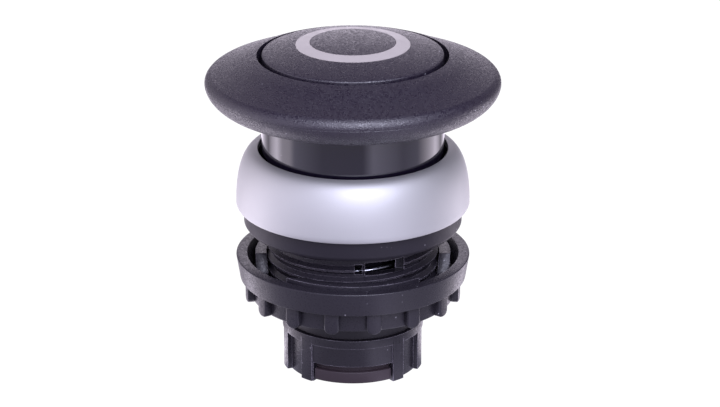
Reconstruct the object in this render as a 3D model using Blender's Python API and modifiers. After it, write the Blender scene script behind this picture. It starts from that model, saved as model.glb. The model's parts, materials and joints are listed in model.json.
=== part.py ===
"""Mushroom-head push-button actuator for a 22.5 mm panel hole, piece by piece.

Sizes are in millimetres. Z is the axis that the button is pressed along, and Z = 0
is the lower end that the contact adapter goes on to. The pieces are turned round
that axis, so a profile is a list of (radius, height) points.
"""
import math

import bmesh
import bpy

MM = 0.001
GAP = 0.12                   # room left between pieces that touch
STEPS = 36                   # facets round a turned piece
SMALL_STEPS = 24             # facets round a small hidden piece

# Driving heights, from the lower end up
NECK_Z = 6.2                 # top of the bayonet collar
SHANK_END_Z = 8.5            # lower end of the threaded shank
SLEEVE_TOP_Z = 9.95          # top of the guide sleeve's flange, inside the shank
NUT_Z = 9.2                  # underside of the nut at rest
NUT_FLOOR_Z = 12.3           # floor of the nut's cup
NUT_FLANGE_Z = 11.94         # underside of the nut's flange, where its ribs start
NUT_TOP_Z = 15.0             # rim of the nut at rest
SEAT_Z = 19.0                # face of the gasket that the panel meets
SHOULDER_Z = 19.4            # top of the plunger's shoulder at rest
FLANGE_Z = 20.0              # underside of the housing's flange
FLOOR_Z = 21.4               # top of the flange, the floor of the cup
BEZEL_Z = 21.7               # lower edge of the bezel
CUP_Z = 28.2                 # top of the housing's cup, under the bezel's lip
LIP_Z = 29.2                 # crown of the bezel
SLEEVE_Z = 26.6              # lower edge of the stem sleeve at rest
WEB_Z = 35.3                 # underside of the stem sleeve's web
WEB_TOP_Z = 36.4             # top of that web, where the cap's spigot sits
CAP_FLOOR_Z = 37.4           # underside of the cap's floor
CAP_LOW_Z = 34.84            # lower edge of the cap at rest
RIM_Z = 37.94                # height of the cap's widest line
TOP_Z = 43.5                 # crown of the button plate

# Driving radii
CAP_R = 18.64
PLATE_R = 11.43
RECESS_R = 12.08
RING_OUT_R = 7.2
RING_IN_R = 5.43
DOME_R = 35.5                # sphere of the cap's crown
STEM_R = 11.57
BORE_R = 12.05
BEZEL_R = 14.85
GASKET_R = 13.9
SHANK_R = 10.9
SHANK_IN_R = 9.2
THREAD_DEPTH = 0.55
THREAD_PITCH = 1.5
NUT_R = 14.95
NUT_RING_R = 13.0            # narrow lower part of the nut
NUT_BORE_R = 11.05
RIB_R = 13.88
RIB_COUNT = 16
COLLAR_R = 9.06
PLUNGER_R = 6.0
SPRING_R = 8.05              # middle of the spring's wire
WIRE_R = 0.36
SPRING_TURNS = 4.0           # in all, with three quarters of a turn flat at each end
SPRING_PHASE = math.radians(137)   # brings the wire behind the windows
SPRING_LOW_Z = 10.45
SPRING_TOP_Z = 18.6
WINDOW_Z = 16.55             # middle of the windows in the shank, right of its front
WINDOWS = ((0.2, 1.15, 1.3), (1.5, 6.4, 1.7))   # left edge, right edge, height

BLACK = (0.030, 0.029, 0.038)
GLOSS_BLACK = (0.022, 0.021, 0.030)
RUBBER = (0.034, 0.034, 0.040)
DULL_BLACK = (0.055, 0.048, 0.056)
SILVER = (0.58, 0.57, 0.66)
LEGEND = (0.62, 0.57, 0.62)
STEEL = (0.60, 0.60, 0.62)


def clear_scene():
    for item in list(bpy.data.objects):
        bpy.data.objects.remove(item, do_unlink=True)


def collection(name):
    made = bpy.data.collections.new(name)
    bpy.context.scene.collection.children.link(made)
    return made


def material(name, color, roughness, metallic=0.0):
    made = bpy.data.materials.new(name)
    made.use_nodes = True
    shader = made.node_tree.nodes["Principled BSDF"]
    shader.inputs["Base Color"].default_value = (*color, 1.0)
    shader.inputs["Roughness"].default_value = roughness
    shader.inputs["Metallic"].default_value = metallic
    return made


def add_object(name, mesh, group, paint=None):
    made = bpy.data.objects.new(name, mesh)
    group.objects.link(made)
    if paint:
        mesh.materials.append(paint)
    if group is CUTTERS:
        made.hide_render = True
        made.display_type = "WIRE"
    return made


def turned(name, profile, group, paint=None, steps=STEPS):
    """A solid of revolution. The profile goes down its outer side and up its inner one."""
    mesh = bpy.data.meshes.new(name)
    closed = all(radius > 0 for radius, _ in profile)
    count = len(profile)
    edges = [(i, i + 1) for i in range(count - 1)] + ([(count - 1, 0)] if closed else [])
    mesh.from_pydata([(radius * MM, 0.0, height * MM) for radius, height in profile], edges, [])
    made = add_object(name, mesh, group, paint)
    screw = made.modifiers.new("turn", "SCREW")
    screw.steps = steps
    screw.render_steps = steps
    screw.use_merge_vertices = True
    screw.merge_threshold = 0.000001
    return made


def ring(name, outer, inner, low, high, group, paint=None, steps=STEPS):
    profile = [(outer, high), (outer, low), (inner, low), (inner, high)]
    return turned(name, profile, group, paint, steps)


def outlined(name, loops, low, high, group, paint=None):
    """A flat outline, with any holes in it, pulled up from one height to another."""
    flat = bpy.data.curves.new(name, "CURVE")
    flat.dimensions = "2D"
    flat.fill_mode = "BOTH"
    flat.extrude = (high - low) / 2 * MM
    for loop in loops:
        spline = flat.splines.new("POLY")
        spline.points.add(len(loop) - 1)
        for point, (x, y) in zip(spline.points, loop):
            point.co = (x * MM, y * MM, 0.0, 1.0)
        spline.use_cyclic_u = True
    guide = bpy.data.objects.new(name + "_outline", flat)
    group.objects.link(guide)
    guide.location.z = (low + high) / 2 * MM
    bpy.context.view_layer.update()
    drawn = guide.evaluated_get(bpy.context.evaluated_depsgraph_get())
    mesh = bpy.data.meshes.new_from_object(drawn)
    shape = bmesh.new()
    shape.from_mesh(mesh)
    bmesh.ops.remove_doubles(shape, verts=shape.verts, dist=0.000001)
    bmesh.ops.recalc_face_normals(shape, faces=shape.faces)
    shape.to_mesh(mesh)
    shape.free()
    made = add_object(name, mesh, group, paint)
    made.matrix_world = guide.matrix_world.copy()
    bpy.data.objects.remove(guide, do_unlink=True)
    return made


def block(name, size, centre, group, azimuth=0.0, paint=None):
    """A box at a place given in its own turned frame: out along the azimuth, and up."""
    bpy.ops.mesh.primitive_cube_add(size=1.0)
    made = bpy.context.object
    made.name = name
    for owner in list(made.users_collection):
        owner.objects.unlink(made)
    group.objects.link(made)
    out, across, up = centre
    cos, sin = math.cos(azimuth), math.sin(azimuth)
    made.location = ((out * cos - across * sin) * MM, (out * sin + across * cos) * MM, up * MM)
    made.rotation_euler.z = azimuth
    made.scale = [side * MM for side in size]
    if paint:
        made.data.materials.append(paint)
    if group is CUTTERS:
        made.hide_render = True
        made.display_type = "WIRE"
    return made


def boolean(target, operand, operation):
    change = target.modifiers.new(operand.name, "BOOLEAN")
    change.operation = operation
    change.object = operand
    return target


def circle(radius, count):
    turn = 2 * math.pi / count
    return [(radius * math.cos(i * turn), radius * math.sin(i * turn)) for i in range(count)]


def dome_z(radius):
    return TOP_Z - DOME_R + math.sqrt(DOME_R ** 2 - radius ** 2)


def swell(corner, reach, power, count):
    """Points along a quarter of a superellipse round a corner, from its top or side."""
    points = []
    for i in range(count + 1):
        angle = math.pi / 2 * i / count
        across = abs(math.cos(angle)) ** (2 / power)
        along = abs(math.sin(angle)) ** (2 / power)
        points.append((corner[0] + reach[0] * across, corner[1] + reach[1] * along))
    return points


# ---- the cap and what is pressed with it ----

def mushroom_cap(paint):
    crown = [(RECESS_R, 41.42), (13.5, 40.92), (15.0, 40.2), (16.4, 39.6)]
    shoulder = [(17.3, 39.2), (17.95, 38.8), (18.4, 38.35)]
    under = swell((14.6, RIM_Z), (CAP_R - 14.6, CAP_LOW_Z - RIM_Z), 1.8, 6)
    inner = [(13.9, 35.2), (13.2, CAP_FLOOR_Z - 0.6), (12.6, CAP_FLOOR_Z)]
    spigot = [(10.3, CAP_FLOOR_Z), (10.3, WEB_TOP_Z + GAP), (1.75, WEB_TOP_Z + GAP)]
    floor_top = CAP_FLOOR_Z + 1.5
    recess = [(1.75, floor_top), (RECESS_R, floor_top)]
    made = turned("mushroom_cap", crown + shoulder + under + inner + spigot + recess, PARTS, paint)
    for i in range(4):
        slot = block(f"hook_slot_{i}", (1.6, 3.4, 4.0), (9.5, 0.0, 38.0), CUTTERS, math.pi / 2 * i)
        boolean(made, slot, "DIFFERENCE")
    return made


def button_plate(paint):
    skirt_z = CAP_FLOOR_Z + 1.7
    top = [(0.0, TOP_Z), (2.8, dome_z(2.8)), (RING_IN_R - GAP, dome_z(RING_IN_R - GAP))]
    groove_z = dome_z(RING_OUT_R) - 0.75
    groove = [(RING_IN_R - GAP, groove_z), (RING_OUT_R + GAP, groove_z)]
    edge = [(r, dome_z(r)) for r in (RING_OUT_R + GAP, 9.4, PLATE_R - 0.35)]
    side = [(PLATE_R, dome_z(PLATE_R) - 0.3), (PLATE_R, skirt_z), (10.4, skirt_z)]
    under = [(10.4, 40.5), (7.4, 41.1), (0.0, 41.5)]
    made = turned("button_plate", top + groove + edge + side + under, PARTS, paint)
    for i in range(4):
        hook = block(f"hook_{i}", (0.8, 2.6, 4.4), (9.5, 0.0, 38.95), CUTTERS, math.pi / 2 * i)
        boolean(made, hook, "UNION")
    return made


def legend_ring(paint):
    base = dome_z(RING_OUT_R) - 0.75 + GAP
    top = [(r, dome_z(r)) for r in (RING_IN_R, 6.3, RING_OUT_R)]
    return turned("legend_ring", top + [(RING_OUT_R, base), (RING_IN_R, base)], PARTS, paint)


def stem_sleeve(paint):
    wall_in = STEM_R - 1.1
    profile = [(STEM_R, CAP_FLOOR_Z - GAP), (STEM_R, SLEEVE_Z), (wall_in, SLEEVE_Z), (wall_in, WEB_Z),
               (3.6, WEB_Z), (3.6, WEB_TOP_Z), (wall_in, WEB_TOP_Z), (wall_in, CAP_FLOOR_Z - GAP)]
    return turned("stem_sleeve", profile, PARTS, paint)


def cap_screw(paint):
    head_low, head_top = CAP_FLOOR_Z + 1.5 + GAP, 40.7
    profile = [(0.9, 40.0), (0.9, head_top), (2.3, head_top), (2.9, 40.2), (2.9, head_low),
               (1.35, head_low), (1.35, 31.6), (0.0, 31.0)]
    return turned("cap_screw", [(0.0, 40.0)] + profile, PARTS, paint, SMALL_STEPS)


def plunger(paint):
    head = WEB_Z - GAP
    outer = [(1.6, WEB_TOP_Z), (3.4, WEB_TOP_Z), (3.4, head), (PLUNGER_R, head),
             (PLUNGER_R, SHOULDER_Z), (8.7, SHOULDER_Z), (8.7, SPRING_TOP_Z), (PLUNGER_R, SPRING_TOP_Z),
             (PLUNGER_R, 8.7)]
    inner = [(4.7, 8.7), (4.7, 29.0), (1.6, 30.2)]
    return turned("plunger", outer + inner, PARTS, paint, STEPS)


def plunger_foot(paint):
    profile = [(4.5, 11.6), (4.5, 8.7 - GAP), (6.85, 8.7 - GAP), (6.85, 5.6), (5.9, 5.6), (5.4, 6.6),
               (3.0, 6.6), (3.0, 11.6)]
    return turned("plunger_foot", profile, PARTS, paint)


def stop_washer(paint):
    return ring("stop_washer", 8.6, PLUNGER_R + 0.15, SHOULDER_Z + GAP, FLANGE_Z - GAP, PARTS, paint,
                SMALL_STEPS)


def return_spring(paint):
    """A coil of round wire, with its end turns lying flat."""
    low, high = SPRING_LOW_Z + WIRE_R + 0.05, SPRING_TOP_Z - WIRE_R - 0.05
    per_turn, flat_turns, closing = 18, 0.75, 2.1 * WIRE_R
    count = int(per_turn * SPRING_TURNS)
    wire = bpy.data.curves.new("return_spring", "CURVE")
    wire.dimensions = "3D"
    wire.bevel_depth = WIRE_R * MM
    wire.bevel_resolution = 2
    wire.use_fill_caps = True
    spline = wire.splines.new("POLY")
    spline.points.add(count)
    for i, point in enumerate(spline.points):
        turn = i / per_turn
        start = closing * min(turn / flat_turns, 1.0)
        end = closing * max(turn - SPRING_TURNS + flat_turns, 0.0) / flat_turns
        climb = min(max(turn - flat_turns, 0.0) / (SPRING_TURNS - 2 * flat_turns), 1.0)
        height = low + start + end + (high - low - 2 * closing) * climb
        angle = 2 * math.pi * turn + SPRING_PHASE
        point.co = (SPRING_R * MM * math.cos(angle), SPRING_R * MM * math.sin(angle), height * MM, 1.0)
    made = bpy.data.objects.new("return_spring", wire)
    PARTS.objects.link(made)
    wire.materials.append(paint)
    return made


# ---- the housing and what is fixed to it ----

def housing(paint):
    cup_out = 12.95
    outer = [(cup_out, CUP_Z), (cup_out, FLOOR_Z), (13.3, FLOOR_Z), (13.3, FLANGE_Z),
             (SHANK_R, FLANGE_Z)]
    thread = []
    thread_top = SEAT_Z - 0.2
    for i in range(int((thread_top - SHANK_END_Z) / THREAD_PITCH)):
        top = thread_top - i * THREAD_PITCH
        thread += [(SHANK_R, top), (SHANK_R - THREAD_DEPTH, top - 0.55), (SHANK_R, top - 1.1)]
    lower = [(SHANK_R, SHANK_END_Z + 0.5), (SHANK_R - 0.4, SHANK_END_Z), (SHANK_IN_R, SHANK_END_Z)]
    groove = [(SHANK_IN_R, 8.75), (9.55, 8.75), (9.55, 9.5), (SHANK_IN_R, 9.5)]
    bore = [(SHANK_IN_R, FLANGE_Z), (PLUNGER_R + 0.1, FLANGE_Z), (PLUNGER_R + 0.1, FLOOR_Z)]
    boss = [(8.6, FLOOR_Z), (8.6, 24.4), (9.4, 24.4), (9.4, FLOOR_Z)]
    cup = [(12.15, FLOOR_Z), (12.15, CUP_Z)]
    made = turned("housing", outer + thread + lower + groove + bore + boss + cup, PARTS, paint)
    for i, (left, right, tall) in enumerate(WINDOWS):
        opening = block(f"window_{i}", (6.0, right - left, tall), (10.5, (left + right) / 2, WINDOW_Z),
                        CUTTERS, -math.pi / 2)
        boolean(made, opening, "DIFFERENCE")
    boolean(made, block("keyway", (2.0, 2.2, 14.0), (11.2, 0.0, 12.8), CUTTERS, math.pi / 2),
            "DIFFERENCE")
    return made


def locating_key(paint):
    return block("locating_key", (1.5, 1.9, 0.85), (11.2, 0.0, 18.55), PARTS, math.pi / 2, paint)


def wiper_seal(paint):
    profile = [(8.5, 22.6), (8.5, FLOOR_Z + GAP), (PLUNGER_R + 0.1, FLOOR_Z + GAP), (PLUNGER_R + 0.1, 21.9),
               (6.9, 22.2), (6.9, 22.6)]
    return turned("wiper_seal", profile, PARTS, paint)


def seal_retainer(paint):
    return ring("seal_retainer", 8.5, PLUNGER_R + 0.4, 22.6 + GAP, 23.9, PARTS, paint)


def bezel_ring(paint):
    crown = swell((BORE_R, BEZEL_Z + 0.3), (BEZEL_R - BORE_R, LIP_Z - BEZEL_Z - 0.3), 2.3, 9)
    crown.reverse()
    foot = [(BEZEL_R - 0.15, BEZEL_Z), (13.1, BEZEL_Z)]
    inner = [(13.1, CUP_Z + GAP), (BORE_R, CUP_Z + GAP)]
    return turned("bezel_ring", crown + foot + inner, PARTS, paint)


def panel_gasket(paint):
    profile = [(GASKET_R, BEZEL_Z - GAP), (GASKET_R, SEAT_Z + 0.4), (GASKET_R - 0.25, SEAT_Z),
               (SHANK_R + 0.25, SEAT_Z), (SHANK_R + 0.25, FLANGE_Z - GAP), (13.42, FLANGE_Z - GAP),
               (13.42, BEZEL_Z - GAP)]
    return turned("panel_gasket", profile, PARTS, paint)


def spring_seat(paint):
    return ring("spring_seat", 9.05, 7.5, SLEEVE_TOP_Z + GAP, SPRING_LOW_Z, PARTS, paint, SMALL_STEPS)


def retaining_ring(paint):
    made = ring("retaining_ring", 9.42, 8.72, 8.87, 9.38, PARTS, paint)
    return boolean(made, block("ring_split", (3.0, 2.4, 3.0), (9.0, 0.0, 9.1), CUTTERS, 0.4), "DIFFERENCE")


def guide_sleeve(paint):
    profile = [(9.08, SLEEVE_TOP_Z), (9.08, 9.5), (8.6, 9.5), (8.6, NECK_Z + GAP), (8.0, NECK_Z + GAP),
               (8.0, 1.8), (8.72, 1.75), (8.72, 0.2), (7.1, 0.2), (7.1, SLEEVE_TOP_Z)]
    made = turned("guide_sleeve", profile, PARTS, paint)
    for i, azimuth in enumerate((0.0, math.pi)):
        trim = outlined(f"band_trim_{i}", [sector(7.98, 10.0, azimuth, math.radians(56.5))], -1.0, 1.9,
                        CUTTERS)
        boolean(made, trim, "DIFFERENCE")
    return made


def sector(inner, outer, azimuth, half):
    """The outline of part of a ring, either side of an azimuth."""
    count = 14
    angles = [azimuth - half + 2 * half * i / count for i in range(count + 1)]
    out = [(outer * math.cos(a), outer * math.sin(a)) for a in angles]
    back = [(inner * math.cos(a), inner * math.sin(a)) for a in reversed(angles)]
    return out + back


def skirt_radius(azimuth):
    """Radius of the collar's skirt: front and back panels, eight ribs, and pockets between."""
    from_panel = abs(math.degrees(math.atan2(math.cos(azimuth), abs(math.sin(azimuth)))))
    if from_panel < 35:
        return COLLAR_R - 0.16
    if from_panel < 46 or 67 < from_panel < 78:
        return COLLAR_R
    return COLLAR_R - 0.61


def bayonet_collar(paint):
    steps = [math.radians(a + 0.5) for a in range(0, 360, 3)]
    outer = []
    for here, ahead in zip(steps, steps[1:] + steps[:1]):
        outer.append((skirt_radius(here) * math.cos(here), skirt_radius(here) * math.sin(here)))
        if skirt_radius(here) != skirt_radius(ahead):
            outer.append((skirt_radius(ahead) * math.cos(here), skirt_radius(ahead) * math.sin(here)))
    made = outlined("bayonet_collar", [outer, circle(8.12, STEPS)], 0.0, 5.4, PARTS, paint)
    boolean(made, ring("collar_band", COLLAR_R, 8.12, 5.1, NECK_Z, CUTTERS), "UNION")
    for i, azimuth in enumerate((math.pi / 2, -math.pi / 2)):
        trim = outlined(f"panel_trim_{i}", [sector(7.0, 10.0, azimuth, math.radians(34.5))], -1.0, 2.6,
                        CUTTERS)
        boolean(made, trim, "DIFFERENCE")
    return made


# ---- the nut ----

def ring_nut(paint):
    outer = [(13.55, NUT_TOP_Z), (NUT_R - 0.1, NUT_TOP_Z), (NUT_R, NUT_TOP_Z - 0.15), (14.45, NUT_FLANGE_Z)]
    foot = [(NUT_RING_R, NUT_FLANGE_Z), (NUT_RING_R, NUT_Z), (NUT_BORE_R, NUT_Z)]
    inner = [(NUT_BORE_R, NUT_FLOOR_Z), (12.95, NUT_FLOOR_Z), (12.95, 13.9)]
    made = turned("ring_nut", outer + foot + inner, PARTS, paint)
    for i in range(RIB_COUNT):
        azimuth = 2 * math.pi * (i + 0.5) / RIB_COUNT
        rib = block(f"nut_rib_{i}", (1.2, 1.9, 3.0), (RIB_R - 0.6, 0.0, 10.55), CUTTERS, azimuth)
        boolean(made, rib, "UNION")
    return made


def thrust_ring(paint):
    """Keyed to the shank at the back, and cut down in front of each side."""
    made = ring("thrust_ring", 12.5, NUT_BORE_R, NUT_FLOOR_Z + GAP, NUT_TOP_Z + 0.1, PARTS, paint)
    key = block("thrust_key", (1.2, 1.8, 0.7), (11.15, 0.0, NUT_FLOOR_Z + 0.6), CUTTERS, math.pi / 2)
    boolean(made, key, "UNION")
    for i, forward in enumerate((-5.55, 5.55)):
        notch = block(f"thrust_notch_{i}", (8.2, 7.5, 3.1), (9.0, forward, 14.3), CUTTERS, math.pi * i)
        boolean(made, notch, "DIFFERENCE")
    return made


def axis_empty(name):
    made = bpy.data.objects.new(name, None)
    PARTS.objects.link(made)
    return made


def build():
    fine_black = material("fine_black", BLACK, 0.55)
    gloss_black = material("gloss_black", GLOSS_BLACK, 0.12)
    shell_black = material("shell_black", BLACK, 0.42)
    rubber = material("black_rubber", RUBBER, 0.75)
    dull_black = material("dull_black", DULL_BLACK, 0.6)
    silver = material("satin_silver", SILVER, 0.38, 0.85)
    legend = material("legend_grey", LEGEND, 0.4)
    steel = material("bright_steel", STEEL, 0.22, 1.0)

    pressed = [mushroom_cap(fine_black), button_plate(fine_black), legend_ring(legend),
               stem_sleeve(gloss_black), cap_screw(steel), plunger(shell_black),
               plunger_foot(dull_black), stop_washer(rubber)]
    press_axis = axis_empty("press_axis")
    for item in pressed:
        item.parent = press_axis
    return_spring(steel)

    housing(shell_black)
    locating_key(shell_black)
    wiper_seal(rubber)
    seal_retainer(shell_black)
    bezel_ring(silver)
    panel_gasket(rubber)
    spring_seat(steel)
    retaining_ring(steel)
    guide_sleeve(dull_black)
    bayonet_collar(shell_black)

    nut_axis = axis_empty("nut_axis")
    for item in (ring_nut(shell_black), thrust_ring(shell_black)):
        item.parent = nut_axis


clear_scene()
PARTS = collection("push_button_actuator")
CUTTERS = collection("cutters")
build()
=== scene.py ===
"""Looks of a mushroom-head push button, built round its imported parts.

Lengths are millimetres until a mesh is made, and Z is the axis that the button is
pressed along. An outline is a list of (radius, height) points that runs down the outer
side of a turned piece and up its inner one; a third value rounds that corner.
"""
import json
import math

import bmesh
import bpy
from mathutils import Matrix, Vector


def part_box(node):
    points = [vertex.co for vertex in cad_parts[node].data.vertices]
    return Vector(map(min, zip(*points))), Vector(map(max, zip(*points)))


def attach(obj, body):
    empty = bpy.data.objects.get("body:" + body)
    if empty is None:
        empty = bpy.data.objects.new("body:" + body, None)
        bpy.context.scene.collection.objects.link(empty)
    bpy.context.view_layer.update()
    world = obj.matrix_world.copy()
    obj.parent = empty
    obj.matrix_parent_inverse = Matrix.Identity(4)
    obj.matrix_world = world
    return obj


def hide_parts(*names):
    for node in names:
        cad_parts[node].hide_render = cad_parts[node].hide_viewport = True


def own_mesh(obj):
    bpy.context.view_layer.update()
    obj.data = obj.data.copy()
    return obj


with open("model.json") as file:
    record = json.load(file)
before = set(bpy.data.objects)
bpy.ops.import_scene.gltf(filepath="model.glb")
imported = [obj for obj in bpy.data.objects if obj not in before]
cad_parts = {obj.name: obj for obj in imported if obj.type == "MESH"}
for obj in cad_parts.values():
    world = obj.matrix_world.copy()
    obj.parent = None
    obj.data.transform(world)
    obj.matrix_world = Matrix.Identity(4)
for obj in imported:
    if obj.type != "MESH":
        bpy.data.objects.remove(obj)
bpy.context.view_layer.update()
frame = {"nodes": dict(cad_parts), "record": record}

MM = 0.001
STEPS = 200                      # facets round a turned piece
FINE = 256                       # facets round a large, smooth one
GAP = 0.12                       # between pieces that touch in the real object
FRONT, BACK = -math.pi / 2, math.pi / 2


def span(node):
    """Radius, lowest and highest height of a node, in millimetres."""
    low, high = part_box(node)
    return (high.x - low.x) / 2 / MM, low.z / MM, high.z / MM


CAP_R, CAP_LOW, _ = span("mushroom_cap")
PLATE_R, _, TOP_Z = span("button_plate")
RING_R, _, _ = span("legend_ring")
STEM_R, STEM_LOW, STEM_TOP = span("stem_sleeve")
BEZEL_R, BEZEL_LOW, LIP_Z = span("bezel_ring")
GASKET_R, SEAT_Z, GASKET_TOP = span("panel_gasket")
_, SHANK_END_Z, CUP_Z = span("housing")
NUT_R, RIB_LOW, NUT_TOP = span("ring_nut")
THRUST_R, THRUST_LOW, THRUST_TOP = span("thrust_ring")
COLLAR_R, COLLAR_LOW, NECK_Z = span("bayonet_collar")
_, BAND_LOW, SLEEVE_TOP = span("guide_sleeve")
_, SPRING_LOW, SPRING_TOP = span("return_spring")
FOOT_R, FOOT_LOW, FOOT_TOP = span("plunger_foot")

DOME_R = 35.5                    # sphere of the crown
RIM_Z = CAP_LOW + 3.1            # the cap's widest line
RECESS_R = 12.08                 # opening in the cap for the plate
SOCKET_R, SOCKET_Z = 10.3, 37.4  # the room in the cap for the stem's top
RING_IN_R = 5.43                 # inner edge of the legend ring
RING_DEEP = 0.6                  # groove that it lies in
STEM_WEB = (35.3, 36.4)          # lower and upper face of the floor in the stem
BORE_R = 12.05                   # bore of the bezel's lip
BEZEL_IN_R = 13.1                # inside of the bezel, round the cup
CUP_R, CUP_IN_R = 12.95, 12.15   # the housing's cup under the bezel
FLANGE_R, FLANGE_Z = 13.3, 20.0  # the flange at its foot, and its lower face
FLOOR_Z = 21.4                   # floor of the cup
BOSS_R, BOSS_IN_R, BOSS_Z = 9.4, 8.6, 24.4    # the seal's boss on that floor
SHANK_R = 10.9                   # crest of the thread
SHANK_IN_R = 9.2
CLIP_R, CLIP_Z = 9.55, (8.75, 9.5)    # groove for the retaining ring
THREAD_DEPTH = 0.55
THREAD_PITCH = 1.5
NUT_BORE_R = 11.05
NUT_RING_R = 13.0                # the nut's body below its flange
NUT_RING_Z = 9.2                 # and its lower end
NUT_FLOOR_Z = 12.3               # floor of the nut's cup
RIB_R = 13.88
RIB_COUNT = 16
FLANGE_LOW_Z = 11.94             # lower face of the nut's flange
POCKET_R = COLLAR_R - 0.61       # the collar's pockets between ribs
PANEL_R = COLLAR_R - 0.16        # its two flush panels
PANEL_LOW_Z = 2.6
BAND_R, SLEEVE_IN_R = 8.72, 7.1  # the guide sleeve's lower band, and its bore
SPRING_R = 8.05                  # middle of the wire
WIRE_R = 0.36
SPRING_TURNS = 4.0
SPRING_PHASE = math.radians(137)
WINDOW_Z = 16.55
WINDOWS = ((0.2, 1.15, 1.3), (1.5, 6.4, 1.7))    # left edge, right edge and height


# ---- mesh helpers ----

def on_circle(radius, angle):
    return radius * math.cos(angle), radius * math.sin(angle)


def rounded(points):
    """The closed outline with an arc at each corner that states a fillet."""
    outline = []
    for i, point in enumerate(points):
        here = Vector(point[:2])
        if len(point) < 3:
            outline.append(tuple(here))
            continue
        back = Vector(points[i - 1][:2]) - here
        ahead = Vector(points[(i + 1) % len(points)][:2]) - here
        half = back.angle(ahead) / 2
        reach = min(point[2] / math.tan(half), 0.48 * back.length, 0.48 * ahead.length)
        middle = (back.normalized() + ahead.normalized()).normalized()
        centre = here + middle * reach / math.cos(half)
        first = here + back.normalized() * reach - centre
        last = here + ahead.normalized() * reach - centre
        start = math.atan2(first.y, first.x)
        bend = math.remainder(math.atan2(last.y, last.x) - start, 2 * math.pi)
        count = max(3, math.ceil(abs(bend) / 0.28))
        for k in range(count + 1):
            angle = start + bend * k / count
            outline.append(tuple(centre + Vector(on_circle(first.length, angle))))
    return outline


def add_mesh(name, verts, faces):
    mesh = bpy.data.meshes.new(name)
    mesh.from_pydata([[value * MM for value in vert] for vert in verts], [], faces)
    mesh.update()
    made = bpy.data.objects.new(name, mesh)
    bpy.context.scene.collection.objects.link(made)
    return made


def smooth(item, angle=40):
    item.data.shade_smooth()
    item.data.set_sharp_from_angle(angle=math.radians(angle))
    return item


def lathe(name, points, steps=STEPS):
    """Turns a closed outline round the Z axis."""
    verts, rows, faces = [], [], []
    for radius, height in rounded(points):
        if radius < 1e-6:
            rows.append([len(verts)] * steps)
            verts.append((0.0, 0.0, height))
            continue
        rows.append(range(len(verts), len(verts) + steps))
        verts += [(*on_circle(radius, 2 * math.pi * i / steps), height) for i in range(steps)]
    for above, below in zip(rows, rows[1:] + rows[:1]):
        for i in range(steps):
            ahead = (i + 1) % steps
            ring = (above[i], below[i], below[ahead], above[ahead])
            face = tuple(dict.fromkeys(ring))
            if len(face) > 2:
                faces.append(face)
    return smooth(add_mesh(name, verts, faces))


def slab(size, centre, azimuth):
    """A box centred out along an azimuth, across it and up."""
    out, across, up = centre
    cos, sin = math.cos(azimuth), math.sin(azimuth)
    shape = bmesh.new()
    bmesh.ops.create_cube(shape, size=1.0)
    verts = []
    for vert in shape.verts:
        x, y, z = vert.co.x * size[0] + out, vert.co.y * size[1] + across, vert.co.z * size[2] + up
        verts.append((x * cos - y * sin, x * sin + y * cos, z))
    faces = [[vert.index for vert in face.verts] for face in shape.faces]
    shape.free()
    return add_mesh("cutter", verts, faces)


def sweep(name, rings):
    """A closed solid through rings of as many points each, with its faces turned outwards."""
    count = len(rings[0])
    last = (len(rings) - 1) * count
    faces = [tuple(range(count)), tuple(range(last, last + count))]
    for base in range(0, last, count):
        for i in range(count):
            ahead = (i + 1) % count
            faces.append((base + i, base + ahead, base + count + ahead, base + count + i))
    made = add_mesh(name, [point for ring in rings for point in ring], faces)
    shape = bmesh.new()
    shape.from_mesh(made.data)
    bmesh.ops.recalc_face_normals(shape, faces=shape.faces)
    shape.to_mesh(made.data)
    shape.free()
    return made


def prism(name, loop, low, high, place=lambda x, y, z: (x, y, z)):
    """A flat outline pulled from one level to another."""
    return sweep(name, [[place(x, y, z) for x, y in loop] for z in (low, high)])


def disc(radius, count):
    return [on_circle(radius, 2 * math.pi * i / count) for i in range(count)]


def sector(inner, outer, azimuth, half):
    """Part of a flat ring, as far as an angle to each side of an azimuth."""
    angles = [azimuth - half + half * i / 20 for i in range(41)]
    return [on_circle(outer, a) for a in angles] + [on_circle(inner, a) for a in reversed(angles)]


def apply_modifiers(item):
    bpy.context.view_layer.update()
    drawn = item.evaluated_get(bpy.context.evaluated_depsgraph_get())
    mesh = bpy.data.meshes.new_from_object(drawn)
    item.modifiers.clear()
    item.data = mesh
    return item


def carve(item, cutters, operation="DIFFERENCE"):
    for cutter in cutters:
        change = item.modifiers.new("carve", "BOOLEAN")
        change.operation = operation
        change.object = cutter
    apply_modifiers(item)
    for cutter in cutters:
        bpy.data.objects.remove(cutter, do_unlink=True)
    return item


def soften(item, width, segments, angle=35):
    bevel = item.modifiers.new("soften", "BEVEL")
    bevel.width = width * MM
    bevel.segments = segments
    bevel.limit_method = "ANGLE"
    bevel.angle_limit = math.radians(angle)
    bevel.use_clamp_overlap = True
    apply_modifiers(item)
    return smooth(item, 30)


def join(name, items):
    """One mesh from several that stand where they were made."""
    verts, faces = [], []
    for item in items:
        base = len(verts)
        verts += [[value / MM for value in vert.co] for vert in item.data.vertices]
        faces += [[base + i for i in face.vertices] for face in item.data.polygons]
        bpy.data.objects.remove(item, do_unlink=True)
    return smooth(add_mesh(name, verts, faces), 30)


# ---- materials ----

def add_node(tree, kind, inputs=None, **settings):
    """A shader node with its settings, and its inputs linked or set."""
    made = tree.nodes.new("ShaderNode" + kind)
    for key, value in settings.items():
        setattr(made, key, value)
    for key, value in (inputs or {}).items():
        if isinstance(value, bpy.types.NodeSocket):
            tree.links.new(value, made.inputs[key])
        else:
            made.inputs[key].default_value = value
    return made


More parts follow.
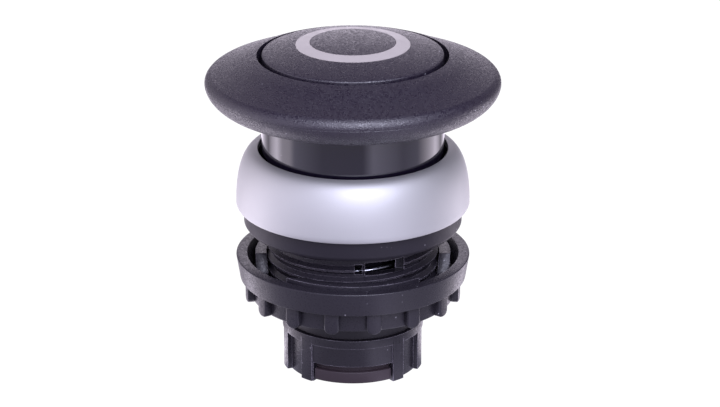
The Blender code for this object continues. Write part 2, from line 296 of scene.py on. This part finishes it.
class Paint:
    """A Principled material with a little help to wire its textures."""

    def __init__(self, name, color, roughness, metallic=0.0, specular=0.5):
        self.material = bpy.data.materials.new(name)
        self.material.use_nodes = True
        self.tree = self.material.node_tree
        self.shader = self.tree.nodes["Principled BSDF"]
        self.color = color
        self.shader.inputs["Base Color"].default_value = (*color, 1)
        self.shader.inputs["Roughness"].default_value = roughness
        self.shader.inputs["Metallic"].default_value = metallic
        self.shader.inputs["Specular IOR Level"].default_value = specular
        self.place = self.tree.nodes.new("ShaderNodeTexCoord").outputs["Object"]
        self.tint = None
        self.rough = None
        self.bump = None

    def node(self, kind, inputs=None, **settings):
        return add_node(self.tree, kind, inputs, **settings)

    def noise(self, scale, detail, stretch=None):
        place = self.place
        if stretch:
            place = self.node("Mapping", {"Vector": place, "Scale": stretch}).outputs["Vector"]
        return self.node("TexNoise", {"Vector": place, "Scale": scale, "Detail": detail}).outputs["Fac"]

    def spread(self, value, low, high, to_low=0.0, to_high=1.0):
        return self.node("MapRange", {"Value": value, "From Min": low, "From Max": high,
                                      "To Min": to_low, "To Max": to_high}).outputs["Result"]

    def blend_color(self, mask, color):
        """Colours the surface where the mask is 1."""
        inputs = {"Factor": mask, "A": self.tint or (*self.color, 1), "B": (*color, 1)}
        self.tint = self.node("Mix", inputs, data_type="RGBA").outputs["Result"]

    def multiply(self, first, second):
        return self.node("Math", {0: first, 1: second}, operation="MULTIPLY").outputs["Value"]

    def mottle(self, scale, amount):
        """Broad, faint changes of shade."""
        mask = self.spread(self.noise(scale, 3.0), 0.35, 0.65)
        self.blend_color(mask, [value * (1 + amount) for value in self.color])

    def vary_roughness(self, scale, low, high, stretch=None):
        self.rough = self.spread(self.noise(scale, 3.0, stretch=stretch), 0.3, 0.7, low, high)

    def relief(self, height, distance, strength):
        inputs = {"Height": height, "Distance": distance * MM, "Strength": strength}
        if self.bump:
            inputs["Normal"] = self.bump
        self.bump = self.node("Bump", inputs).outputs["Normal"]

    def grain(self, size, depth, strength):
        self.relief(self.noise(1 / (size * MM), 2.0), depth, strength)

    def cells(self, size):
        """Distance to the middle of each grain, and a random number for each."""
        made = self.node("TexVoronoi", {"Vector": self.place, "Scale": 1 / (size * MM)})
        chance = self.node("SeparateColor", {"Color": made.outputs["Color"]}).outputs["Red"]
        return made.outputs["Distance"], chance

    def sparkle(self, size, low, high):
        """Grains that each have their own roughness, so that a highlight glitters."""
        self.rough = self.spread(self.cells(size)[1], 0.0, 1.0, low, high)

    def specks(self, size, threshold, color):
        """Scattered dust, thicker in some places than in others."""
        distance, chance = self.cells(size)
        near = self.spread(distance, threshold, threshold * 0.5)
        rare = self.spread(chance, 0.80, 0.84)
        where = self.spread(self.noise(60, 2.0), 0.42, 0.62)
        self.blend_color(self.multiply(self.multiply(near, rare), where), color)

    def painted_edge_highlight(self, color, radius, amount, start, end):
        """Edges painted lighter as a painted highlight, found where a rounded normal leaves the true
        one.
        """
        soft = self.node("Bevel", {"Radius": radius * MM}, samples=6).outputs["Normal"]
        true = self.node("NewGeometry").outputs["Normal"]
        same = self.node("VectorMath", {0: soft, 1: true}, operation="DOT_PRODUCT").outputs["Value"]
        edge_lit = self.spread(same, 1 - start, 1 - end, 0.0, amount)
        patchy = self.spread(self.noise(500, 3.0), 0.30, 0.60, 0.25, 1.0)
        self.blend_color(self.multiply(edge_lit, patchy), color)

    def done(self):
        wires = {"Base Color": self.tint, "Roughness": self.rough, "Normal": self.bump}
        for socket, value in wires.items():
            if value:
                self.tree.links.new(value, self.shader.inputs[socket])
        return self.material


def make_paints():
    paints = {}

    cap = Paint("cap_grained_plastic", (0.010, 0.006, 0.017), 0.40, specular=0.95)
    cap.mottle(60, 0.10)
    cap.sparkle(0.16, 0.24, 0.58)
    cap.grain(0.15, 0.06, 1.0)
    cap.specks(1.0, 0.11, (0.50, 0.49, 0.55))
    paints["cap_black"] = cap.done()

    legend = Paint("legend_inlay_plastic", (0.43, 0.395, 0.38), 0.38)
    legend.mottle(300, -0.04)
    legend.vary_roughness(700, 0.34, 0.46)
    legend.grain(0.3, 0.01, 0.3)
    paints["legend_grey"] = legend.done()

    gloss = Paint("polished_skirt_plastic", (0.006, 0.004, 0.012), 0.08, specular=1.0)
    gloss.vary_roughness(220, 0.05, 0.10, stretch=(1, 1, 0.12))
    gloss.relief(gloss.noise(420, 1.0, stretch=(1, 1, 0.03)), 0.02, 0.12)
    gloss.specks(1.1, 0.05, (0.30, 0.29, 0.34))
    paints["gloss_black"] = gloss.done()

    shell = Paint("moulded_shell_plastic", (0.017, 0.015, 0.021), 0.36, specular=0.42)
    shell.mottle(120, 0.25)
    shell.sparkle(0.16, 0.24, 0.48)
    shell.grain(0.20, 0.02, 0.5)
    # Edges painted lighter: a painted highlight along them.
    shell.painted_edge_highlight((0.38, 0.35, 0.41), 0.115, 1.0, 0.01, 0.16)
    shell.specks(0.9, 0.13, (0.50, 0.48, 0.53))
    paints["shell_black"] = shell.done()

    dull = Paint("dull_warm_plastic", (0.012, 0.010, 0.015), 0.5)
    # Below a height of 2.4 to 2.7 mm the colour turns lighter and warmer.
    height = dull.node("SeparateXYZ", {"Vector": dull.place}).outputs["Z"]
    dull.blend_color(dull.spread(height, 2.7 * MM, 2.4 * MM), (0.034, 0.023, 0.030))
    dull.vary_roughness(300, 0.44, 0.58)
    dull.relief(dull.noise(900, 2.0, stretch=(1, 1, 0.06)), 0.03, 0.4)
    # Edges painted lighter: a painted highlight along them.
    dull.painted_edge_highlight((0.16, 0.13, 0.15), 0.12, 0.6, 0.02, 0.25)
    paints["dull_black"] = dull.done()

    silver = Paint("satin_metallised_finish", (0.57, 0.575, 0.575), 0.58, metallic=0.84)
    silver.mottle(70, 0.04)
    silver.vary_roughness(240, 0.56, 0.61)
    silver.grain(0.09, 0.012, 0.5)
    silver.specks(1.3, 0.06, (0.08, 0.08, 0.10))
    paints["satin_silver"] = silver.done()

    rubber = Paint("gasket_rubber", (0.012, 0.010, 0.016), 0.50, specular=0.35)
    rubber.mottle(140, 0.3)
    rubber.vary_roughness(260, 0.44, 0.58)
    rubber.grain(0.3, 0.03, 0.4)
    rubber.specks(0.6, 0.18, (0.50, 0.48, 0.52))
    paints["black_rubber"] = rubber.done()

    steel = Paint("drawn_spring_steel", (0.58, 0.60, 0.66), 0.22, metallic=1.0)
    steel.vary_roughness(600, 0.16, 0.30)
    steel.mottle(400, -0.15)
    steel.grain(0.12, 0.006, 0.4)
    paints["bright_steel"] = steel.done()
    return paints


# ---- the cap and what is pressed with it ----

def dome_z(radius):
    return TOP_Z - DOME_R + math.sqrt(DOME_R ** 2 - radius ** 2)


def dome_points(start, end, count):
    radii = [start + (end - start) * i / count for i in range(count + 1)]
    return [(radius, dome_z(radius)) for radius in radii]


def oval(centre, reach, power, start, end, count):
    """Points along a superellipse: angle 0 is straight out, 90 degrees straight up."""
    points = []
    for i in range(count + 1):
        angle = start + (end - start) * i / count
        cos, sin = math.cos(angle), math.sin(angle)
        points.append((centre[0] + reach[0] * abs(cos) ** (2 / power),
                       centre[1] + math.copysign(abs(sin) ** (2 / power), sin) * reach[1]))
    return points


def smooth_path(points):
    """Cuts the corners of an open outline twice, and keeps its ends."""
    for _ in range(2):
        finer = [points[0]]
        for here, ahead in zip(points, points[1:]):
            for share in (0.25, 0.75):
                finer.append(tuple(p + (q - p) * share for p, q in zip(here[:2], ahead[:2])))
        points = finer + [points[-1]]
    return points


def cap_shell():
    flank = [(RECESS_R, 41.42, 0.14), (12.8, 41.16), (13.6, 40.84), (14.4, 40.48), (15.2, 40.14),
             (16.0, 39.82), (16.7, 39.54), (17.2, 39.34)]
    rim_out, rim_up = 1.9, 1.42
    arc = [math.radians(56 - 4 * i) for i in range(15)]
    edge = [(CAP_R - rim_out + rim_out * math.cos(a), RIM_Z + rim_up * math.sin(a)) for a in arc]
    seam = [(CAP_R - 0.005, RIM_Z - 0.14), (CAP_R - 0.03, RIM_Z - 0.17), (CAP_R - 0.01, RIM_Z - 0.2)]
    curl_r = 14.6
    curl = oval((curl_r, RIM_Z), (CAP_R - curl_r, RIM_Z - CAP_LOW), 1.8, 0.0, -math.pi / 2, 24)
    under = [point for point in curl if point[1] < RIM_Z - 0.3]
    web_low, web_top, screw_r = 36.52, 38.9, 1.75
    inside = [(13.9, CAP_LOW + 0.4, 0.3), (13.2, 36.8, 0.3), (12.6, SOCKET_Z, 0.3),
              (SOCKET_R, SOCKET_Z), (SOCKET_R, web_low), (screw_r, web_low), (screw_r, web_top),
              (RECESS_R, web_top, 0.2)]
    return lathe("cap_shell", smooth_path(flank + edge) + seam + under + inside, FINE)


def plate_face():
    inner, outer = RING_IN_R - 0.02, RING_R + 0.02
    middle = dome_points(0.0, inner, 10)
    groove_z = dome_z(RING_R) - RING_DEEP
    groove = [(inner, groove_z), (outer, groove_z)]
    border = dome_points(outer, PLATE_R, 10)
    border[-1] = (*border[-1], 0.22)
    under = [(PLATE_R, 39.1, 0.1), (10.4, 39.1), (10.4, 40.5), (7.4, 41.1), (0.0, 41.5)]
    return lathe("plate_face", middle + groove + border + under, FINE)


def legend_inlay():
    top = dome_points(RING_IN_R, RING_R, 6)
    base = dome_z(RING_R) - RING_DEEP + 0.05
    return lathe("legend_inlay", top + [(RING_R, base), (RING_IN_R, base)], FINE)


def skirt():
    inner, hole = STEM_R - 1.1, 3.6
    web_low, web_top = STEM_WEB
    points = [(STEM_R, STEM_TOP, 0.1), (STEM_R, STEM_LOW, 0.3), (inner, STEM_LOW, 0.3),
              (inner, web_low, 0.2), (hole, web_low), (hole, web_top), (inner, web_top),
              (inner, STEM_TOP)]
    return lathe("skirt_gloss", points, FINE)


def foot_face():
    neck, shoulder, bore = 4.5, 8.6, 3.0
    points = [(neck, FOOT_TOP), (neck, shoulder), (FOOT_R, shoulder, 0.2), (FOOT_R, FOOT_LOW, 0.3),
              (5.9, FOOT_LOW, 0.25), (5.4, FOOT_LOW + 1, 0.2), (bore, FOOT_LOW + 1, 0.2),
              (bore, FOOT_TOP)]
    return lathe("foot_face", points, 128)


# ---- the housing and what is fixed to it ----

def bezel_satin():
    reach = (BEZEL_R - BORE_R, LIP_Z - BEZEL_LOW - 0.3)
    crown = oval((BORE_R, BEZEL_LOW + 0.3), reach, 2.3, math.pi / 2, 0.0, 36)
    crown[0] = (*crown[0], 0.12)
    foot = [(BEZEL_R - 0.15, BEZEL_LOW, 0.12), (BEZEL_IN_R, BEZEL_LOW)]
    inside = [(BEZEL_IN_R, CUP_Z + GAP), (BORE_R, CUP_Z + GAP, 0.1)]
    return lathe("bezel_satin", crown + foot + inside, FINE)


def gasket_band():
    hole, under = SHANK_R + 0.25, FLANGE_Z - GAP
    points = [(GASKET_R, GASKET_TOP, 0.1), (GASKET_R - 0.02, SEAT_Z + 0.45, 0.35),
              (GASKET_R - 0.3, SEAT_Z, 0.15), (hole, SEAT_Z, 0.1), (hole, under),
              (FLANGE_R + GAP, under), (FLANGE_R + GAP, GASKET_TOP, 0.08)]
    return lathe("gasket_band", points, FINE)


def shank_openings():
    """Cutters for the windows in front and the keyway at the back."""
    windows = [slab((6.0, right - left, tall), (10.5, (left + right) / 2, WINDOW_Z), FRONT)
               for left, right, tall in WINDOWS]
    return windows + [slab((2.0, 2.2, 14.0), (11.2, 0.0, 12.8), BACK)]


def shank_body():
    root, hole = SHANK_R - THREAD_DEPTH, 6.1
    clip_low, clip_top = CLIP_Z
    outer = [(CUP_R, CUP_Z, 0.1), (CUP_R, FLOOR_Z), (FLANGE_R, FLOOR_Z), (FLANGE_R, FLANGE_Z),
             (SHANK_R, FLANGE_Z), (SHANK_R, SEAT_Z - 0.3, 0.1), (root, SEAT_Z - 0.7),
             (root, SHANK_END_Z, 0.3), (SHANK_IN_R, SHANK_END_Z, 0.2)]
    inner = [(SHANK_IN_R, clip_low), (CLIP_R, clip_low), (CLIP_R, clip_top), (SHANK_IN_R, clip_top),
             (SHANK_IN_R, FLANGE_Z), (hole, FLANGE_Z), (hole, FLOOR_Z)]
    cup = [(BOSS_IN_R, FLOOR_Z), (BOSS_IN_R, BOSS_Z), (BOSS_R, BOSS_Z, 0.2), (BOSS_R, FLOOR_Z),
           (CUP_IN_R, FLOOR_Z), (CUP_IN_R, CUP_Z, 0.1)]
    made = lathe("shank_body", outer + inner + cup)
    return smooth(carve(made, shank_openings()), 35)


def thread_ridge(name, foot, crest, pitch, low, high):
    """A helical ridge that runs out at both ends."""
    section = ((-0.58, 0.0), (-0.2, 0.75), (-0.1, 1.0), (0.1, 1.0), (0.2, 0.75), (0.58, 0.0))
    per_turn = 120
    turns = (high - low) / pitch
    count = int(turns * per_turn)
    rings = []
    for i in range(count + 1):
        turn = i / per_turn
        fade = max(min(1.0, turn / 0.2, (turns - turn) / 0.2), 0.02)
        angle = 2 * math.pi * turn
        rings.append([(*on_circle(foot + (crest - foot) * rise * fade, angle), low + turn * pitch + up)
                      for up, rise in section])
    return sweep(name, rings)


def shank_thread():
    made = thread_ridge("shank_thread", SHANK_R - THREAD_DEPTH - 0.03, SHANK_R, THREAD_PITCH,
                        SHANK_END_Z + 0.9, SEAT_Z - 1.0)
    return smooth(carve(made, shank_openings()), 50)


def skirt_radius(azimuth):
    """The collar's outline: a panel in front and behind, then rib, pocket and rib."""
    from_panel = abs(math.degrees(math.atan2(math.cos(azimuth), abs(math.sin(azimuth)))))
    if from_panel < 35:
        return PANEL_R
    if from_panel < 46 or 67 < from_panel < 78:
        return COLLAR_R
    return POCKET_R


def collar_body():
    """The ribbed skirt under a plain band, bored out and open in front and behind."""
    outer = []
    angles = [math.radians(a + 0.5) for a in range(360)]
    for here, ahead in zip(angles, angles[1:] + angles[:1]):
        radii = dict.fromkeys((skirt_radius(here), skirt_radius(ahead)))
        outer += [on_circle(radius, here) for radius in radii]
    made = prism("collar_body", outer, COLLAR_LOW, NECK_Z - 0.5)
    # The band's outline stops a hair short of a full turn. That short edge holds the bevel back.
    half = math.pi * 0.999999
    outline = [on_circle(COLLAR_R, -half + 2 * half * i / 240) for i in range(241)]
    carve(made, [prism("collar_band", outline, 5.1, NECK_Z)], "UNION")
    bore = prism("bore", disc(8.12, 180), -1.0, 8.0)
    trims = [prism("trim", sector(7.0, 10.0, side, math.radians(34.5)), -1.0, PANEL_LOW_Z)
             for side in (FRONT, BACK)]
    carve(made, [bore] + trims)
    return soften(made, 0.07, 2)


def sleeve_tube():
    collar_r, shank_r, waist_r, band_top = 8.0, SHANK_IN_R - GAP, 8.6, 1.75
    outer = [(shank_r, SLEEVE_TOP), (shank_r, CLIP_Z[1]), (waist_r, CLIP_Z[1]),
             (waist_r, NECK_Z + GAP), (collar_r, NECK_Z + GAP), (collar_r, band_top)]
    band = [(BAND_R, band_top, 0.12), (BAND_R, BAND_LOW, 0.2), (SLEEVE_IN_R, BAND_LOW, 0.2)]
    made = lathe("sleeve_tube", outer + band + [(SLEEVE_IN_R, SLEEVE_TOP)])
    trims = [prism("trim", sector(collar_r - 0.02, 10.0, side, math.radians(56.5)), -1.0, 1.9)
             for side in (0.0, math.pi)]
    return smooth(carve(made, trims), 35)


def spring_coil():
    """The spring's wire, with closed coils at both ends."""
    low, high = SPRING_LOW + WIRE_R, SPRING_TOP - WIRE_R
    per_turn, flat_turns, closing = 60, 0.75, 2.1 * WIRE_R
    wire = disc(WIRE_R, 16)
    rings = []
    for i in range(int(per_turn * SPRING_TURNS) + 1):
        turn = i / per_turn
        start = closing * min(turn / flat_turns, 1.0)
        end = closing * max(turn - SPRING_TURNS + flat_turns, 0.0) / flat_turns
        climb = min(max(turn - flat_turns, 0.0) / (SPRING_TURNS - 2 * flat_turns), 1.0)
        height = low + start + end + (high - low - 2 * closing) * climb
        angle = 2 * math.pi * turn + SPRING_PHASE
        rings.append([(*on_circle(SPRING_R + out, angle), height + up) for out, up in wire])
    return smooth(sweep("spring_coil", rings), 50)


# ---- the nut ----

def nut_body():
    outer = [(NUT_R, NUT_TOP, 0.14), (14.45, FLANGE_LOW_Z, 0.14), (NUT_RING_R, FLANGE_LOW_Z, 0.2),
             (NUT_RING_R, NUT_RING_Z, 0.3), (NUT_BORE_R, NUT_RING_Z, 0.3), (NUT_BORE_R, NUT_FLOOR_Z)]
    cup = [(12.95, NUT_FLOOR_Z, 0.2), (12.95, 13.9, 0.1), (13.55, NUT_TOP, 0.06)]
    return lathe("nut_body", outer + cup, FINE)


def nut_ribs():
    """Tongue-ended ribs under the flange."""
    half, corner = 0.95, 0.85
    arc = [math.radians(a) for a in range(0, 91, 15)]
    right = [(half - corner + corner * math.cos(a), RIB_LOW + corner - corner * math.sin(a))
             for a in arc]
    left = [(-x, z) for x, z in reversed(right)]
    loop = [(half, 12.05)] + right + left + [(-half, 12.05)]
    ribs = []
    for i in range(RIB_COUNT):
        azimuth = 2 * math.pi * (i + 0.5) / RIB_COUNT
        cos, sin = math.cos(azimuth), math.sin(azimuth)
        rib = prism("rib", loop, 12.6, RIB_R, lambda across, up, out:
                    (out * cos - across * sin, out * sin + across * cos, up))
        ribs.append(soften(rib, 0.3, 4, 40))
    return join("nut_ribs", ribs)


def thrust_castle():
    """The thrust ring, cut down in front of each side as far as a wall that leans back."""
    points = [(THRUST_R, THRUST_TOP), (THRUST_R, THRUST_LOW), (NUT_BORE_R, THRUST_LOW),
              (NUT_BORE_R, THRUST_TOP)]
    made = lathe("thrust_castle", points, 144)
    carve(made, [slab((1.2, 1.8, 0.7), (11.15, 0.0, THRUST_LOW + 0.48), BACK)], "UNION")
    low, high = THRUST_LOW + 0.33, THRUST_TOP + 0.5
    wall = [(-1.0, high), (-2.5, low), (-9.3, low), (-9.3, high)]
    notches = [prism("notch", wall, side * 4.9, side * 13.1, lambda y, z, x: (x, y, z))
               for side in (-1, 1)]
    return soften(carve(made, notches), 0.08, 2)


# ---- putting it together ----

def dress(paints):
    """Builds each piece: its body, its material slot and the CAD nodes that it stands for."""
    pieces = (
        (cap_shell, "plunger", "cap_black", ["mushroom_cap"]),
        (plate_face, "plunger", "cap_black", ["button_plate"]),
        (legend_inlay, "plunger", "legend_grey", ["legend_ring"]),
        (skirt, "plunger", "gloss_black", ["stem_sleeve"]),
        (foot_face, "plunger", "dull_black", ["plunger_foot"]),
        (bezel_satin, "housing", "satin_silver", ["bezel_ring"]),
        (gasket_band, "housing", "black_rubber", ["panel_gasket"]),
        (shank_body, "housing", "shell_black", ["housing"]),
        (shank_thread, "housing", "shell_black", []),
        (collar_body, "housing", "shell_black", ["bayonet_collar"]),
        (sleeve_tube, "housing", "dull_black", ["guide_sleeve"]),
        (spring_coil, "housing", "bright_steel", ["return_spring"]),
        (nut_body, "ring_nut", "shell_black", ["ring_nut"]),
        (nut_ribs, "ring_nut", "shell_black", []),
        (thrust_castle, "thrust_ring", "shell_black", ["thrust_ring"]),
    )
    for build, body, slot, nodes in pieces:
        item = build()
        item.data.materials.clear()
        item.data.materials.append(paints[slot])
        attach(item, body)
        if nodes:
            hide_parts(*nodes)
    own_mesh(bpy.data.objects["spring_coil"])


def paint_carried_nodes(paints):
    """The CAD nodes that nothing replaces are seen too."""
    slots = {part["node"]: part["material_slot"] for part in frame["record"]["subparts"]}
    for name, item in frame["nodes"].items():
        item.data.materials.clear()
        item.data.materials.append(paints[slots[name]])


# ---- floor, light and camera ----

# The surround's levels by direction: degrees round from the camera's side, right positive. TABLE sets
# the floor's painted glow near the object.
TABLE = ((-180, 2.4), (-150, 1.5), (-126, 0.5), (-105, 3.3), (-94, 1.8), (-82, 1.8), (-74, 0.8),
         (-36, 0.38), (12, 0.36), (24, 1.1), (52, 0.68), (62, 0.50), (84, 0.6), (98, 1.5),
         (120, 2.7), (137, 0.5), (155, 1.5), (180, 2.4))
WALLS = ((-180, 1.8), (-168, 0.9), (-155, 0.3), (-100, 1.2), (-45, 0.95), (0, 0.46), (50, 0.38),
         (100, 0.6), (155, 0.3), (168, 0.9), (180, 1.8))
TONE = (1.07, 0.98, 1.15)
COOL_TONE = (1.05, 1.0, 1.28)
COOL_FROM, COOL_TO = -78, 90     # the directions with the cooler tone
OVERHEAD = 0.10                  # the walls straight above, as a part of their level at the horizon
RIGHT_DIM = 0.5                  # the walls straight to the right, in the same way
TABLE_NEAR, TABLE_FAR = 0.10, 0.28    # metres out where the table's levels give way to the walls'
SOFTBOX_AT = (14, 46, 0.6)       # azimuth, elevation and distance
SOFTBOX_SIZE = (0.44, 0.62)
SOFTBOX_POWER = 6.6
SOFTBOX_COLOR = (0.80, 0.80, 1.0)
AIM_Z = 0.03                     # height of the softbox's aim
SEEN_WHITE = (1.05, 1.05, 1.05, 1)    # what the camera sees of the floor and walls
CAMERA_AT = (0, 20.83, 0.395)    # azimuth, elevation and distance, as above
CAMERA_AIM_Z = 0.0224
CAMERA_LENS = 155.1
CAMERA_SHIFT = (0.0099, -0.0096)


def calculate(tree, operation, *values):
    return add_node(tree, "Math", dict(enumerate(values)), operation=operation).outputs["Value"]


def remap(tree, value, low, high, to_low=0.0, to_high=1.0):
    inputs = {"Value": value, "From Min": low, "From Max": high,
              "To Min": to_low, "To Max": to_high}
    return add_node(tree, "MapRange", inputs, interpolation_type="SMOOTHSTEP").outputs["Result"]


def mix_colors(tree, share, first, second):
    inputs = {"Factor": share, "A": first, "B": second}
    return add_node(tree, "Mix", inputs, data_type="RGBA").outputs["Result"]


def studio_white(tree, place, levels):
    """Colour of the surround in the direction of a place, and that place's coordinates."""
    axes = add_node(tree, "SeparateXYZ", {"Vector": place}).outputs
    angle = calculate(tree, "ARCTAN2", axes["X"], calculate(tree, "MULTIPLY", axes["Y"], -1.0))
    turn = calculate(tree, "ADD", calculate(tree, "DIVIDE", angle, 2 * math.pi), 0.5)
    ramp = add_node(tree, "ValToRGB", {"Fac": turn})
    stops = ramp.color_ramp.elements
    stops.remove(stops[-1])
    for i, (degrees, level) in enumerate(levels):
        stop = stops.new(degrees / 360 + 0.5) if i else stops[0]
        stop.position = degrees / 360 + 0.5
        tone = COOL_TONE if COOL_FROM < degrees < COOL_TO else TONE
        stop.color = (*[level * value for value in tone], 1)
    return ramp.outputs["Color"], axes


def white_to_camera(tree, color):
    """The backdrop itself is seen as plain white."""
    seen = add_node(tree, "LightPath").outputs["Is Camera Ray"]
    return mix_colors(tree, seen, color, SEEN_WHITE)


def stage_floor():
    """A floor that glows with painted light, as dim as the walls far out: plain white, clean and
    unshaded to the camera, and to everything else a glow that changes with direction.
    """
    bpy.ops.mesh.primitive_circle_add(vertices=64, radius=3.0, fill_type="NGON",
                                      location=(0, 0, -0.0001))
    floor = bpy.context.object
    floor.name = "floor"
    paint = Paint("glowing_floor", (0.02, 0.02, 0.02), 0.9, specular=0.0)
    place = paint.node("NewGeometry").outputs["Position"]
    near, _ = studio_white(paint.tree, place, TABLE)
    far, _ = studio_white(paint.tree, place, WALLS)
    out = paint.node("VectorMath", {0: place}, operation="LENGTH").outputs["Value"]
    blend = mix_colors(paint.tree, remap(paint.tree, out, TABLE_NEAR, TABLE_FAR), near, far)
    # The floor's glow is painted light: patches brighter in some directions stand in for a table lit by
    # lamps.
    paint.tree.links.new(white_to_camera(paint.tree, blend), paint.shader.inputs["Emission Color"])
    paint.shader.inputs["Emission Strength"].default_value = 1.0
    floor.data.materials.append(paint.done())


def surround():
    world = bpy.data.worlds.new("studio")
    bpy.context.scene.world = world
    world.use_nodes = True
    tree = world.node_tree
    place = add_node(tree, "TexCoord").outputs["Generated"]
    color, axes = studio_white(tree, place, WALLS)
    fade = remap(tree, axes["Z"], 0.35, 0.80, 1.0, OVERHEAD)
    right = remap(tree, axes["X"], 0.1, 0.8, 0.0, RIGHT_DIM - 1.0)
    above = remap(tree, axes["Z"], -0.05, 0.12)
    share = calculate(tree, "ADD", calculate(tree, "MULTIPLY", right, above), 1.0)
    inputs = {"Vector": color, "Scale": calculate(tree, "MULTIPLY", fade, share)}
    dimmed = add_node(tree, "VectorMath", inputs, operation="SCALE").outputs["Vector"]
    tree.links.new(white_to_camera(tree, dimmed), tree.nodes["Background"].inputs["Color"])
    tree.nodes["Background"].inputs["Strength"].default_value = 1.0
    bpy.context.scene.view_settings.view_transform = "Standard"


def add_item(name, data, place):
    made = bpy.data.objects.new(name, data)
    bpy.context.scene.collection.objects.link(made)
    made.location = place
    return made


def polar(azimuth, elevation, distance, height):
    """A place round the object: azimuth 0 is the camera's side, positive to its right."""
    a, e = math.radians(azimuth), math.radians(elevation)
    return (distance * math.cos(e) * math.sin(a), -distance * math.cos(e) * math.cos(a),
            height + distance * math.sin(e))


def softbox():
    data = bpy.data.lights.new("softbox", "AREA")
    data.shape = "RECTANGLE"
    data.size, data.size_y = SOFTBOX_SIZE
    data.energy = SOFTBOX_POWER
    data.color = SOFTBOX_COLOR
    lamp = add_item("softbox", data, polar(*SOFTBOX_AT, AIM_Z))
    aim = Vector((0, 0, AIM_Z)) - lamp.location
    lamp.rotation_euler = aim.to_track_quat("-Z", "Y").to_euler()


def camera():
    data = bpy.data.cameras.new("camera")
    data.lens = CAMERA_LENS
    data.sensor_width = 36.0
    data.shift_x, data.shift_y = CAMERA_SHIFT
    data.clip_start = 0.01
    item = add_item("camera", data, polar(*CAMERA_AT, CAMERA_AIM_Z))
    item.rotation_euler = (math.pi / 2 - math.radians(CAMERA_AT[1]), 0, 0)
    bpy.context.scene.camera = item


paints = make_paints()
paint_carried_nodes(paints)
dress(paints)
stage_floor()
surround()
softbox()
camera()
